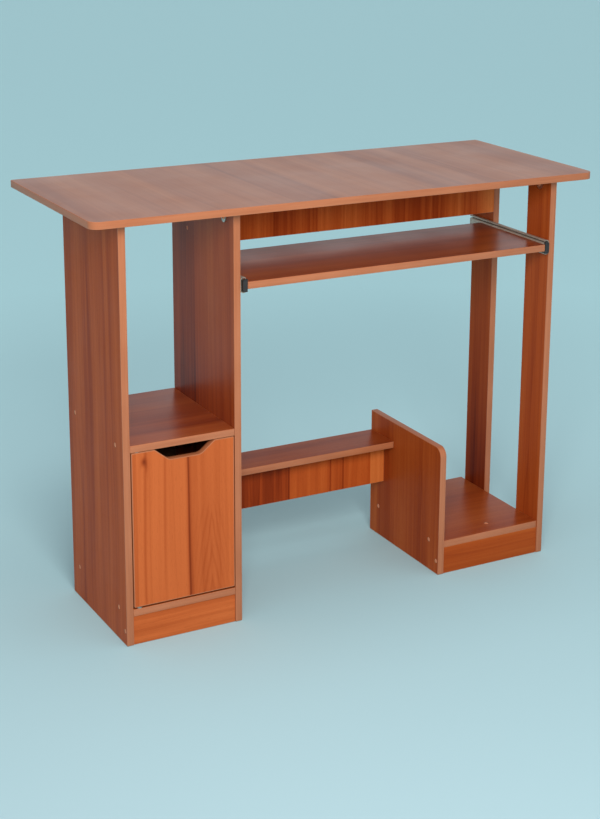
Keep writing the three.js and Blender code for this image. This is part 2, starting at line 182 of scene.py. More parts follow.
class Grain:
    """The grain's coordinates in a material, and noise that is stretched along them."""

    def __init__(self, n):
        self.n = n
        attribute = n.new("Attribute", attribute_name="grain", attribute_type="GEOMETRY")
        split = n.new("SeparateXYZ")
        n.link(attribute.outputs["Vector"], split.inputs[0])
        self.along, self.across, self.own = split.outputs
        self.bent = self.across

    def bend(self, wander):
        """Lets the streaks wander sideways by up to about this many metres."""
        drift = self.noise(2.2, 5.0, detail=1.0)
        self.bent = self.n.add(self.across, self.n.multiply(self.n.subtract(drift, 0.5), 2 * wander))

    def noise(self, per_along, per_across, shift=0.0, **settings):
        """Noise that changes so many times a metre along and across the grain."""
        n = self.n
        own = n.add(self.own, shift) if shift else self.own
        place = n.combine(n.multiply(self.along, per_along), n.multiply(self.bent, per_across), own)
        return n.noise(place, **settings)


# Layers of the print. For each: changes a metre along and across the grain, detail, and a shift
# that keeps it apart from the other layers.
BROAD = (0.8, 13.0, 1.0, 0.0)
MIDDLE = (1.4, 48.0, 2.0, 7.0)
FINE = (3.2, 190.0, 3.0, 13.0)
HAIR = (11.0, 900.0, 2.0, 19.0)
RING_EDGES = (0.9, 22.0, 1.0, 31.0)

ARCH_PITCH = 55 * MM
ARCH_SLOPE = 6.0
ARCH_DEPTH = 0.1

LOOK = {
    "wander": 12 * MM,
    "contrast": 1.0,
    "roughness": 0.36,
    "specular": 0.06,
    "pores": 1.0,
    "hair": 0.16,
    "lines": 0.17,
    "relief": 0.35,
}


# Darker copies of one laminate's tones: the factor paints the shade that a board stands in into its colour.
def painted_shade(tones, factor):
    return [tuple(factor * channel for channel in tone) for tone in tones]


def cathedral(n, grain, centre, apex, reach):
    """Nested arches that point up, below the height apex and within reach of the line centre."""
    aside = n.math("ABSOLUTE", n.subtract(grain.across, centre))
    ripple = n.noise(n.combine(n.multiply(grain.along, 9.0), n.multiply(grain.across, 60.0), 3.0), detail=1.0)
    rise = n.add(grain.along, n.multiply(aside, ARCH_SLOPE))
    rise = n.add(rise, n.multiply(ripple, 50 * MM))
    wave = n.span(n.math("SINE", n.multiply(rise, 2 * math.pi / ARCH_PITCH)), -0.2, 1.0)
    below = n.span(grain.along, apex - 30 * MM, apex, 1.0, 0.0)
    return n.multiply(wave, n.multiply(n.gauss(aside, 0.0, reach), below))


def laminate(name, tones, bands=(), marks=(), arches=None, **changes):
    """Printed cherry woodgrain under a semi-gloss coat. tones go from the darkest streak to the
    lightest. bands are (low across, high across, lift), marks (along, across, length, width, depth)
    and arches (centre across, apex along, reach); some bands and marks are painted shade.
    changes override LOOK."""
    look = LOOK | changes
    contrast = look["contrast"]
    n = Nodes(name)
    grain = Grain(n)
    grain.bend(look["wander"])

    def streaks(per_along, per_across, detail, shift):
        return grain.noise(per_along, per_across, shift, detail=detail, roughness=0.55)

    fine = streaks(*FINE)
    tone = n.multiply(n.subtract(streaks(*BROAD), 0.5), 0.85 * contrast)
    for part, share in ((streaks(*MIDDLE), 0.65), (fine, 0.42), (streaks(*HAIR), look["hair"])):
        tone = n.add(tone, n.multiply(n.subtract(part, 0.5), share * contrast))
    # a few narrow dark lines where the print shows a growth ring's edge
    line = n.math("ABSOLUTE", n.subtract(streaks(*RING_EDGES), 0.5))
    line = n.multiply(n.span(line, 0.0, 0.02, 1.0, 0.0), n.span(fine, 0.35, 0.6))
    tone = n.subtract(tone, n.multiply(line, look["lines"] * contrast))
    for centre_along, centre_across, length, width, depth in marks:
        spot = n.gauss(grain.bent, centre_across, width)
        if length:
            spot = n.multiply(spot, n.gauss(grain.along, centre_along, length))
        tone = n.subtract(tone, n.multiply(spot, depth))
    for low, high, lift in bands:
        tone = n.add(tone, n.multiply(n.window(grain.across, low, high), lift))
    if arches:
        tone = n.subtract(tone, n.multiply(cathedral(n, grain, *arches), ARCH_DEPTH))
    tone = n.add(tone, 0.5, clamp=True)
    color = n.ramp(tone, [(i / (len(tones) - 1), color) for i, color in enumerate(tones)])
    # short pores, a little darker and duller than what they lie in
    pores = n.span(grain.noise(95.0, 1500.0, detail=1.0), 0.62, 0.72)
    color = n.mix(n.multiply(pores, 0.22 * look["pores"]), color, tones[0])
    n.set(Base_Color=color, Specular_IOR_Level=look["specular"])
    smudge = n.noise(n.combine(grain.along, grain.across, grain.own), scale=9.0, detail=3.0)
    rough = n.span(smudge, 0.3, 0.7, look["roughness"] - 0.04, look["roughness"] + 0.05)
    n.set(Roughness=n.add(rough, n.multiply(pores, 0.08 * look["pores"])))
    height = n.subtract(n.multiply(fine, 0.25), n.multiply(pores, 0.6 * look["pores"]))
    n.bump(height, 0.12 * MM, look["relief"])
    return n.material


def edge_band(name, light, dark):
    """Plain-toned plastic edge strip: faint streaks along it, a little lighter in patches on its arrises."""
    n = Nodes(name)
    grain = Grain(n)
    soft = grain.noise(6.0, 260.0)
    thread = grain.noise(40.0, 1600.0)
    blotch = grain.noise(9.0, 9.0)
    tone = n.add(n.multiply(soft, 0.45), n.multiply(thread, 0.25))
    tone = n.add(tone, n.multiply(blotch, 0.3))
    color = n.mix(n.span(tone, 0.32, 0.66), dark, light)
    # lighter in patches where the surface is most convex, on the arrises
    arris_patches = n.span(n.new("NewGeometry").outputs["Pointiness"], 0.52, 0.62)
    arris_patches = n.multiply(arris_patches, n.span(blotch, 0.45, 0.7))
    arris_tone = tuple(min(1.0, 1.25 * channel + 0.03) for channel in light)
    n.set(Base_Color=n.mix(n.multiply(arris_patches, 0.5), color, arris_tone), Specular_IOR_Level=0.5)
    n.set(Roughness=n.span(thread, 0.3, 0.7, 0.34, 0.46))
    n.bump(thread, 0.1 * MM, 0.3)
    return n.material


# ---------------------------------------------------------------- other materials


def chipboard(name):
    """The raw core seen inside a drilled hole."""
    n = Nodes(name)
    chips = n.noise(n.object_place(), scale=700.0, detail=4.0)
    n.set(Base_Color=n.ramp(chips, [(0.3, (0.05, 0.03, 0.018)), (0.7, (0.3, 0.19, 0.1))]), Roughness=0.9)
    n.bump(chips, 0.4 * MM, 0.6)
    return n.material


def hardboard(name):
    """Dark pressed fibre, cloudy and matt."""
    n = Nodes(name)
    place = n.object_place()
    fibre = n.noise(place, scale=260.0, detail=5.0, distortion=0.6)
    cloud = n.noise(place, scale=14.0, detail=3.0)
    tone = n.add(n.multiply(fibre, 0.6), n.multiply(cloud, 0.4))
    n.set(Base_Color=n.ramp(tone, [(0.3, (0.05, 0.024, 0.013)), (0.7, (0.13, 0.062, 0.033))]))
    n.set(Roughness=n.span(fibre, 0.3, 0.7, 0.6, 0.85))
    n.bump(fibre, 0.2 * MM, 0.5)
    return n.material


def plated_steel(name, light, dark, roughness=0.3, stretch=(1.0, 1.0, 1.0), metallic=1.0):
    """Plated steel: faint rolling lines, cloudy crystals and dull handling marks. stretch scales the
    rolling lines along X, Y and Z."""
    n = Nodes(name)
    place = n.object_place()
    mapping = n.new("Mapping")
    n.link(place, mapping.inputs["Vector"])
    mapping.inputs["Scale"].default_value = stretch
    roll = n.noise(mapping.outputs[0], scale=900.0, detail=3.0)
    cloud = n.noise(place, scale=60.0, detail=4.0)
    tone = n.add(n.multiply(roll, 0.4), n.multiply(cloud, 0.6))
    n.set(Base_Color=n.mix(n.span(tone, 0.3, 0.7), dark, light), Metallic=metallic)
    n.set(Roughness=n.span(tone, 0.3, 0.7, roughness + 0.1, roughness - 0.06))
    n.bump(roll, 0.05 * MM, 0.4)
    return n.material


def moulded(name, light, dark):
    """Moulded plastic with a fine spark texture, polished where it has been touched."""
    n = Nodes(name)
    place = n.object_place()
    spark = n.noise(place, scale=2600.0, detail=2.0)
    cloud = n.noise(place, scale=120.0, detail=3.0)
    n.set(Base_Color=n.mix(n.span(cloud, 0.3, 0.7), dark, light), Specular_IOR_Level=0.5)
    n.set(Roughness=n.span(cloud, 0.35, 0.7, 0.37, 0.55))
    n.bump(spark, 0.1 * MM, 0.45)
    return n.material


PANEL_TONES = [
    (0.15, 0.015, 0.003),
    (0.36, 0.052, 0.009),
    (0.5, 0.09, 0.016),
    (0.6, 0.132, 0.026),
    (0.7, 0.19, 0.045),
]
FRONT_TONES = [
    (0.2, 0.029, 0.007),
    (0.41, 0.08, 0.019),
    (0.56, 0.13, 0.034),
    (0.64, 0.17, 0.048),
    (0.73, 0.235, 0.075),
]
DOOR_TONES = [
    (0.21, 0.031, 0.008),
    (0.42, 0.082, 0.02),
    (0.55, 0.126, 0.034),
    (0.615, 0.154, 0.045),
    (0.7, 0.208, 0.068),
]
# The tabletop's tones: darker than the panels' as painted shade, and greyed as a painted sheen seen at a low
# slant.
TOP_SHADE_AND_SHEEN_TONES = [
    (0.17, 0.048, 0.028),
    (0.275, 0.086, 0.042),
    (0.36, 0.123, 0.056),
    (0.43, 0.157, 0.07),
    (0.485, 0.192, 0.096),
]

ALONG_SLIDE = (1.0, 0.04, 1.0)
BAND = edge_band("edge_band", (0.495, 0.168, 0.072), (0.39, 0.117, 0.044))
CORE = chipboard("board_core")
STEEL = plated_steel("slide_steel", (0.5, 0.45, 0.38), (0.38, 0.33, 0.27), 0.42, ALONG_SLIDE, 0.35)
ZINC = plated_steel("bracket_zinc", (0.74, 0.7, 0.62), (0.52, 0.48, 0.42))
SCREW_STEEL = plated_steel("screw_steel", (0.86, 0.33, 0.17), (0.64, 0.23, 0.11), 0.5, metallic=0.3)
BRIGHT_STEEL = plated_steel("pivot_steel", (0.58, 0.55, 0.5), (0.42, 0.39, 0.35))
BLACK_PLASTIC = moulded("black_plastic", (0.035, 0.031, 0.03), (0.018, 0.016, 0.016))
HARDBOARD = hardboard("hardboard")

# ---------------------------------------------------------------- mesh helpers


def finish_piece(name, bm, materials, body, replaced=(), smooth_angle=35.0):
    mesh = bpy.data.meshes.new(name)
    bm.normal_update()
    bm.to_mesh(mesh)
    bm.free()
    for material in materials:
        mesh.materials.append(material)
    for polygon in mesh.polygons:
        polygon.use_smooth = True
    mesh.set_sharp_from_angle(angle=math.radians(smooth_angle))
    piece = bpy.data.objects.new(name, mesh)
    SCENE.collection.objects.link(piece)
    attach(piece, body)
    if replaced:
        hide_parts(*replaced)


def other_axes(axis):
    """The two axes that follow this one, in the right-handed order."""
    return (axis + 1) % 3, (axis + 2) % 3


def rounded_outline(points, radii, steps):
    """A closed 2-D outline with each corner of the polygon rounded to its own radius."""
    outline = []
    for i, (corner, radius) in enumerate(zip(points, radii)):
        before, after = points[i - 1], points[(i + 1) % len(points)]
        to_before, to_after = (before - corner).normalized(), (after - corner).normalized()
        half = to_before.angle(to_after) / 2
        centre = corner + (to_before + to_after).normalized() * (radius / math.sin(half))
        reach = radius / math.tan(half)
        first = corner + to_before * reach - centre
        last = corner + to_after * reach - centre
        sweep = first.angle_signed(last)
        outline += [centre + Matrix.Rotation(-sweep * k / steps, 2) @ first for k in range(steps + 1)]
    return outline


def inset_outline(outline, distance):
    """The outline moved inwards (to its left, as it runs anticlockwise) by a small distance."""
    least_cosine = 0.3  # keeps a sharp corner from moving far
    moved = []
    for i, point in enumerate(outline):
        into = (point - outline[i - 1]).normalized()
        out_of = (outline[(i + 1) % len(outline)] - point).normalized()
        normal = Vector((-into.y - out_of.y, into.x + out_of.x)).normalized()
        cosine = normal.dot(Vector((-into.y, into.x)))
        moved.append(point + normal * (distance / max(least_cosine, cosine)))
    return moved


# ---------------------------------------------------------------- screws' places

DRIVEN_RIGHT = ("cabinet_left_screw", "apron_left_screw", "footrest_left_screw", "bay_side_screw")
SUNK_AT_MOST = 0.6 * MM


def screw_place(node):
    """Where a flat-head screw's head is, which way it is driven, and how long it is."""
    low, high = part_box(node)
    middle = (low + high) / 2
    if node == "bay_shelf_screw":
        return Vector((middle.x, middle.y, high.z)), Vector((0, 0, -1)), high.z - low.z
    if node.rsplit("_", 1)[0] in DRIVEN_RIGHT:
        return Vector((low.x, middle.y, middle.z)), Vector((1, 0, 0)), high.x - low.x
    return Vector((high.x, middle.y, middle.z)), Vector((-1, 0, 0)), high.x - low.x


screws = {node: screw_place(node) for node in sorted(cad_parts) if "_screw" in node}


def screw_holes(low, high, t):
    """Where screw heads sit in a board's two faces: (side, centre across the board)."""
    a, b = other_axes(t)
    found = []
    for head, way, _ in screws.values():
        side = 0 if way[t] > 0 else 1
        face = (low, high)[side][t]
        inside = low[a] < head[a] < high[a] and low[b] < head[b] < high[b]
        if abs(way[t]) > 0.5 and abs(head[t] - face) < SUNK_AT_MOST and inside:
            found.append((side, Vector((head[a], head[b]))))
    return found


# ---------------------------------------------------------------- boards

ARRIS = 0.7 * MM
ARRIS_STEPS = 4
CORNER = 1.6 * MM
CORNER_STEPS = 3
BAND_SHOWS = 0.8 * MM
DIMPLE_FACETS = 24
DIMPLE = ((4.3 * MM, 0.0), (4.2 * MM, 0.75 * MM), (2.5 * MM, 3.1 * MM))  # each ring's radius and depth
FACE_SLOT, RIM_SLOT, CORE_SLOT = range(3)


def rim_levels(low, high, band_shows):
    """How far in and how high each ring of a rim stands, from one flat face to the other."""
    levels = []
    for k in range(ARRIS_STEPS + 1):
        angle = math.pi / 2 * k / ARRIS_STEPS
        levels.append((ARRIS * (1 - math.sin(angle)), low + ARRIS * (1 - math.cos(angle))))
    if band_shows:
        levels.insert(0, (ARRIS + band_shows, low))
    return levels + [(inset, low + high - level) for inset, level in reversed(levels)]


def board_mesh(low, high, t, g, outline, own, holes, band_shows):
    """A banded board: flat laminate faces, and a rim whose arrises are eased round. t is the axis of
    its thickness and g that of its grain; outline is 2-D, anticlockwise about t; holes are (side, 2-D
    centre); band_shows is how wide the band's own edge shows on the flat faces."""
    a, b = other_axes(t)
    c = a if g == b else b
    bm = bmesh.new()
    grain = bm.loops.layers.float_vector.new("grain")

    def vertex(point, level):
        place = Vector((0, 0, 0))
        place[a], place[b], place[t] = point.x, point.y, level
        return bm.verts.new(place)

    def mark(face, kind, places):
        face.material_index = kind
        for loop, (along, across) in zip(face.loops, places):
            loop[grain] = Vector((along, across, own))

    def rim():
        """Joins the rings of the rim, and returns the first and the last."""
        levels = rim_levels(low[t], high[t], band_shows)
        rings = [[vertex(p, level) for p in inset_outline(outline, inset)] for inset, level in levels]
        lengths = [0.0]
        for i, point in enumerate(outline):
            lengths.append(lengths[-1] + (outline[(i + 1) % len(outline)] - point).length)
        for (_, level), (_, above), ring, upper in zip(levels, levels[1:], rings, rings[1:]):
            for i in range(len(outline)):
                j = (i + 1) % len(outline)
                start, end = lengths[i], lengths[i + 1]
                face = bm.faces.new((ring[i], ring[j], upper[j], upper[i]))
                mark(face, RIM_SLOT, ((start, level), (end, level), (end, above), (start, above)))
        return rings[0], rings[-1]

    def dimple(side, centre):
        """Sinks the hole for a screw's head in one flat face, and returns its mouth."""
        level, inwards = (high[t], -1) if side else (low[t], 1)
        walls = []
        for radius, depth in DIMPLE:
            turns = [2 * math.pi * k / DIMPLE_FACETS for k in range(DIMPLE_FACETS)]
            circle = [centre + Vector((math.cos(turn), math.sin(turn))) * radius for turn in turns]
            walls.append([vertex(point, level + inwards * depth) for point in circle])
        faces = []
        for upper, lower in zip(walls, walls[1:]):
            for i in range(DIMPLE_FACETS):
                j = (i + 1) % DIMPLE_FACETS
                faces.append([upper[i], lower[i], lower[j], upper[j]])
        for corners in [*faces, walls[-1]]:
            bm.faces.new(corners if side else corners[::-1]).material_index = CORE_SLOT
        return walls[0]

    def flat_face(side, loops):
        """Fills one flat face between its outer ring and the mouths of its holes."""
        flat = [v for loop in loops for v in loop]
        lines = [[Vector((v.co[a], v.co[b], 0)) for v in loop] for loop in loops]
        for triangle in tessellate_polygon(lines):
            corners = [flat[i] for i in triangle]
            p, q, r = [Vector((v.co[a], v.co[b])) for v in corners]
            anticlockwise = (q - p).cross(r - p) > 0
            if anticlockwise != (side == 1):
                corners.reverse()
            mark(bm.faces.new(corners), FACE_SLOT, [(v.co[g], v.co[c]) for v in corners])

    for side, ring in enumerate(rim()):
        mouths = [dimple(side, centre) for hole_side, centre in holes if hole_side == side]
        flat_face(side, [ring, *mouths])
    return bm


def rectangle(low, high, t):
    a, b = other_axes(t)
    corners = ((low[a], low[b]), (high[a], low[b]), (high[a], high[b]), (low[a], high[b]))
    return [Vector(corner) for corner in corners]


def make_board(node, g, face_material, body="desk", outline=None, band_shows=0.0):
    low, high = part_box(node)
    size = high - low
    t = min(range(3), key=lambda i: size[i])
    if outline is None:
        outline = rounded_outline(rectangle(low, high, t), [CORNER] * 4, CORNER_STEPS)
    # worked out of the board's name, so that no two boards show the same stretch of the print
    own = 1.7 * (sum(ord(letter) * (i + 3) for i, letter in enumerate(node)) % 97)
    bm = board_mesh(low, high, t, g, outline, own, screw_holes(low, high, t), band_shows)
    finish_piece("visual_" + node, bm, [face_material, BAND, CORE], body, [node])


def stripes(node, axis, rows):
    """Bands for laminate(), of the print and some of painted shade, from rows of (start, end, lift) in mm
    from the board's side.
    """
    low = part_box(node)[0][axis]
    return [(low + start * MM, low + end * MM, lift) for start, end, lift in rows]


# A glossy shelf or top that is mostly seen at a low slant has no pores and hardly any relief.
SLEEK = {"pores": 0.0, "hair": 0.06, "lines": 0.07, "relief": 0.1, "roughness": 0.32}
WHOLE_WIDTH = 1.0  # a mark this wide, in metres, covers a whole board; the marks that use it are painted shade

TOP_BANDS = stripes("tabletop", X, [(363, 443, -0.13), (773, 813, 0.12)])
TOP = laminate("top_laminate", TOP_SHADE_AND_SHEEN_TONES, TOP_BANDS, contrast=0.95, specular=1.0, **SLEEK)
PANEL_BANDS = stripes("cabinet_left_panel", Y, [(71.5, 149.5, -0.1)])
# The left panel: the panel laminate darkened as painted shade on its side face.
PANEL = laminate("panel_laminate", painted_shade(PANEL_TONES, 0.88), PANEL_BANDS)
# The inner panel: the laminate darkened as painted shade, a painted shade band along its back part, a lighter
# streak in front of that, and painted shade across its whole width about 360 mm up.
INNER_BACK_SHADE_AND_STREAK = stripes("cabinet_right_panel", Y, [(159.5, 261.5, -0.22), (127.5, 147.5, 0.1)])
INNER_LOW_SHADE = [(360 * MM, 0.0, 100 * MM, WHOLE_WIDTH, 0.16)]
INNER = laminate(
    "inner_laminate", painted_shade(PANEL_TONES, 0.8), INNER_BACK_SHADE_AND_STREAK, INNER_LOW_SHADE, roughness=0.32, specular=0.14
)
# Shelves and the keyboard tray under the tabletop: the panel laminate darkened as painted shade.
SHELF = laminate("shelf_laminate", painted_shade(PANEL_TONES, 0.62), contrast=1.1, specular=0.52, **SLEEK)
# The bay's side panel and plinth: the panel laminate darkened as painted shade.
BAY = laminate("bay_laminate", painted_shade(PANEL_TONES, 0.76), wander=6 * MM)
# The rear leg: the panel laminate darkened as painted shade, with a painted shadow across its whole width
# near its foot.
REAR_LEG_FOOT_SHADOW = [(80 * MM, 0.0, 150 * MM, WHOLE_WIDTH, 0.26)]
REAR_LEG = laminate(
    "rear_leg_laminate", painted_shade(PANEL_TONES, 0.68), marks=REAR_LEG_FOOT_SHADOW, wander=4 * MM
)
# The footrest and the bay shelf: the panel laminate darkened as painted shade.
FOOT = laminate(
    "footrest_laminate", painted_shade(PANEL_TONES, 0.62), contrast=0.9, roughness=0.32, specular=0.18
)
# The front leg: the panel laminate darkened as painted shade.
LEG = laminate("leg_laminate", painted_shade(PANEL_TONES, 0.84), wander=4 * MM)
FRONT = laminate("front_laminate", FRONT_TONES, wander=8 * MM)
APRON_ROWS = [
    (154, 229, -0.2),
    (234, 245, -0.16),
    (300, 344, 0.16),
    (489, 504, -0.2),
    (504, 561.5, 0.05),
    (561.5, 596, -0.03),
]
APRON_BANDS = stripes("apron_rail", X, APRON_ROWS)
APRON = laminate("apron_laminate", PANEL_TONES, APRON_BANDS, wander=3 * MM, contrast=1.3)
# The first row is a painted shadow of the cabinet on the stretcher's left part; the rest are lines and a
# light patch of the print.
STRETCHER_SHADOW_AND_PRINT_ROWS = [
    (0, 198, -0.31),
    (196, 199, -0.15),
    (285, 288, -0.25),
    (313, 316, -0.25),
    (375, 405, 0.5),
]
STRETCHER_SHADOW_AND_PRINT_BANDS = stripes("footrest_stretcher", X, STRETCHER_SHADOW_AND_PRINT_ROWS)
STRETCHER = laminate(
    "stretcher_laminate", PANEL_TONES, STRETCHER_SHADOW_AND_PRINT_BANDS, wander=3 * MM, contrast=0.75
)

# The door: its lines, its knot and a painted shade along its left edge, placed by fractions of its height and
# width.
door_low, door_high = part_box("cabinet_door")
door_wide = door_high.x - door_low.x
door_tall = door_high.z - door_low.z


def up_door(share):
    return door_low.z + share * door_tall


def across_door(share):
    return door_low.x + share * door_wide


def door_line(across, width, depth):
    """A line that runs the whole height of the door."""
    return (0.0, across_door(across), 0.0, width, depth)


# painted shade along the door's left edge, beside its gap
DOOR_EDGE_SHADE = [(door_low.x, across_door(0.045), -0.15)]
DOOR_MARKS = [
    (up_door(0.75), across_door(0.32), 200 * MM, 3.2 * MM, 0.22),
    door_line(0.556, 1.8 * MM, 0.18),
    door_line(0.563, 5.5 * MM, 0.24),
    door_line(0.63, 14.0 * MM, 0.08),
    door_line(0.125, 2.6 * MM, 0.2),
    (up_door(0.935), across_door(0.105), 8 * MM, 4 * MM, 0.42),
    (up_door(0.915), across_door(0.14), 14 * MM, 2.5 * MM, 0.2),
]
DOOR_ARCHES = (across_door(0.77), up_door(0.62), 26 * MM)
DOOR = laminate(
    "door_laminate", DOOR_TONES, DOOR_EDGE_SHADE, DOOR_MARKS, DOOR_ARCHES, wander=8 * MM, contrast=0.5
)

TOP_FRONT_RADIUS = 18 * MM
TOP_BACK_RADIUS = 4 * MM
make_board(
    "tabletop",
    Y,
    TOP,
    outline=rounded_outline(
        rectangle(*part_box("tabletop"), Z), [TOP_FRONT_RADIUS] * 2 + [TOP_BACK_RADIUS] * 2, steps=12
    ),
    band_shows=BAND_SHOWS,
)
make_board("cabinet_left_panel", Z, PANEL, band_shows=BAND_SHOWS)
make_board("cabinet_right_panel", Z, INNER, band_shows=BAND_SHOWS)
make_board("front_right_leg", Z, LEG, band_shows=BAND_SHOWS)
make_board("rear_right_leg", Z, REAR_LEG, band_shows=BAND_SHOWS)
make_board("cabinet_mid_shelf", X, SHELF)
make_board("cabinet_bottom_shelf", X, SHELF)
make_board("bay_shelf", X, FOOT)
make_board("keyboard_tray", X, SHELF, body="tray", band_shows=BAND_SHOWS)
make_board("footrest_board", X, FOOT)
make_board("footrest_stretcher", Z, STRETCHER)
make_board("apron_rail", Z, APRON)
make_board("cabinet_plinth", X, FRONT)
make_board("bay_plinth", X, BAY)

BAY_TOP_RADIUS = 18 * MM
make_board(
    "bay_side_panel",
    Z,
    BAY,
    outline=rounded_outline(
        rectangle(*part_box("bay_side_panel"), X), [CORNER] * 3 + [BAY_TOP_RADIUS], steps=10
    ),
    band_shows=BAND_SHOWS,
)

# The door's grip is cut out of its top edge, a little to the right of its middle. The door's
# thickness lies along Y, so its outline is drawn as (z, x).
GRIP_TOP_HALF = 55 * MM
GRIP_FOOT_HALF = 29 * MM
GRIP_DEPTH = 21 * MM
GRIP_SHIFT = 3 * MM
GRIP_MOUTH_RADIUS = 3 * MM
GRIP_FOOT_RADIUS = 17 * MM
grip_middle = (door_low.x + door_high.x) / 2 + GRIP_SHIFT
grip_foot = door_high.z - GRIP_DEPTH
door_points = [
    Vector((door_low.z, door_low.x)),
    Vector((door_high.z, door_low.x)),
    Vector((door_high.z, grip_middle - GRIP_TOP_HALF)),
    Vector((grip_foot, grip_middle - GRIP_FOOT_HALF)),
    Vector((grip_foot, grip_middle + GRIP_FOOT_HALF)),
    Vector((door_high.z, grip_middle + GRIP_TOP_HALF)),
    Vector((door_high.z, door_high.x)),
    Vector((door_low.z, door_high.x)),
]
half_radii = [CORNER, CORNER, GRIP_MOUTH_RADIUS, GRIP_FOOT_RADIUS]
make_board(
    "cabinet_door",
    Z,
    DOOR,
    body="door",
    outline=rounded_outline(door_points, half_radii + half_radii[::-1], steps=8),
    band_shows=BAND_SHOWS,
)

# ---------------------------------------------------------------- screws

# A screw is made of rings of points about its axis, in metres, with its shank pointing down.
RING_POINTS = 24
SHANK_RADIUS = 2.25 * MM
TIP_RADIUS = 0.4 * MM
THREAD_PITCH = 1.8 * MM
THREAD_DEPTH = 0.35 * MM
THREAD_MARGIN = 4.0 * MM  # left plain under the head and above the tip


def cross_ring(arm, half, level):
    """A ring round a cross recess: arm is its reach, half is half the width of its slots."""
    middle = (arm + half) / 2
    quarter = [(arm, 0.0), (arm, half), (middle, half), (half, half), (half, middle), (half, arm)]
    ring = []
    for c, s in ((1, 0), (0, 1), (-1, 0), (0, -1)):
        ring += [Vector((c * x - s * y, s * x + c * y, level)) for x, y in quarter]
    return ring


def circle_ring(radius, level):
    turns = [math.radians(360 / RING_POINTS * k) for k in range(RING_POINTS)]
    return [Vector((radius * math.cos(turn), radius * math.sin(turn), level)) for turn in turns]


def flat_head_rings(length):
    """A flat-head screw with the top of its head at 0."""
    rings = [
        cross_ring(0.9 * MM, 0.3 * MM, -1.7 * MM),
        cross_ring(1.9 * MM, 0.5 * MM, -0.15 * MM),
        cross_ring(2.0 * MM, 0.55 * MM, 0.0),
        circle_ring(3.6 * MM, 0.0),
        circle_ring(3.85 * MM, -0.08 * MM),
        circle_ring(3.95 * MM, -0.3 * MM),
        circle_ring(3.8 * MM, -0.6 * MM),
        circle_ring(SHANK_RADIUS, -2.8 * MM),
    ]
    level = -THREAD_MARGIN
    while level > THREAD_MARGIN - length:
        rings.append(circle_ring(SHANK_RADIUS, level))
        rings.append(circle_ring(SHANK_RADIUS - THREAD_DEPTH, level - THREAD_PITCH / 2))
        level -= THREAD_PITCH
    rings.append(circle_ring(TIP_RADIUS, -length))
    return rings


def pan_head_rings(length, radius=3.4 * MM, height=1.7 * MM):
    """A pan-head screw with the underside of its head at 0."""
    return [
        cross_ring(0.8 * MM, 0.3 * MM, 0.25 * height),
        cross_ring(1.6 * MM, 0.45 * MM, 0.94 * height),
        cross_ring(1.7 * MM, 0.5 * MM, height),
        circle_ring(0.65 * radius, 0.97 * height),
        circle_ring(0.88 * radius, 0.78 * height),
        circle_ring(0.98 * radius, 0.45 * height),
        circle_ring(radius, 0.0),
        circle_ring(1.6 * MM, 0.0),
        circle_ring(1.4 * MM, -length),
    ]


def add_screw(name, place, outwards, rings, turn, body="desk", replaced=()):
    """Joins a screw's rings, from the recess's floor to the tip, with its head at place and facing
    outwards. turn is the cross's angle in degrees, which differs from screw to screw."""
    upright = Vector((0, 0, 1)).rotation_difference(outwards).to_matrix().to_4x4()
    stand = Matrix.Translation(place) @ upright @ Matrix.Rotation(math.radians(turn), 4, "Z")
    bm = bmesh.new()
    made = [[bm.verts.new(stand @ point) for point in ring] for ring in rings]
    bm.faces.new(made[0])
    for inner, outer in zip(made, made[1:]):
        for i in range(RING_POINTS):
            j = (i + 1) % RING_POINTS
            bm.faces.new((inner[i], outer[i], outer[j], inner[j]))
    bm.faces.new(made[-1][::-1])
    finish_piece(name, bm, [SCREW_STEEL], body, replaced, smooth_angle=30.0)


for k, (node, (head, way, length)) in enumerate(screws.items()):
    add_screw("visual_" + node, head, -way, flat_head_rings(length), 37.0 * k, replaced=[node])

# ---------------------------------------------------------------- metal and plastic that keep their CAD shape


def dress(node, material, bevel=0.0, segments=2):
    """Gives a CAD node its material, and eases its edges with a modifier."""
    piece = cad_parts[node]
    piece.data.materials.clear()
    piece.data.materials.append(material)
    for polygon in piece.data.polygons:
        polygon.use_smooth = True
        polygon.material_index = 0
    piece.data.set_sharp_from_angle(angle=math.radians(35.0))
    if bevel:
        modifier = piece.modifiers.new("eased_edges", "BEVEL")
        modifier.width = bevel
        modifier.segments = segments
        modifier.limit_method = "ANGLE"
        modifier.angle_limit = math.radians(40.0)


for node in sorted(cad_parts):
    if node.startswith("top_bracket"):
        dress(node, ZINC, 0.25 * MM)
    elif node.endswith("_bumper"):
        dress(node, BLACK_PLASTIC, 0.5 * MM, 3)
    elif "_slide_" in node:
        dress(node, STEEL)
    elif node.endswith("_pivot"):
        dress(node, BRIGHT_STEEL, 0.3 * MM)
dress("cabinet_back_panel", HARDBOARD, 0.3 * MM)
dress("magnetic_catch", BLACK_PLASTIC, 0.6 * MM, 3)
dress("catch_strike_plate", ZINC, 0.25 * MM)

# ---------------------------------------------------------------- fittings

# Each angle bracket is held by one screw into the panel and one up into the tabletop.
BRACKET_PLATE = 2.0 * MM
BRACKET_HOLE = 16.5 * MM
FIXING_LENGTH = 12 * MM
for k, node in enumerate(sorted(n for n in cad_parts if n.startswith("top_bracket"))):
    low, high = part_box(node)
    way = 1 if "_left_" in node else -1
    face = low.x if way > 0 else high.x
    y = (low.y + high.y) / 2
    rings = pan_head_rings(FIXING_LENGTH)
    side_place = Vector((face + way * BRACKET_PLATE, y, high.z - BRACKET_HOLE))
    top_place = Vector((face + way * BRACKET_HOLE, y, high.z - BRACKET_PLATE))
    add_screw("bracket_side_screw_%d" % k, side_place, Vector((way, 0, 0)), rings, 50.0 * k + 10)
    add_screw("bracket_top_screw_%d" % k, top_place, Vector((0, 0, -1)), rings, 70.0 * k + 25)

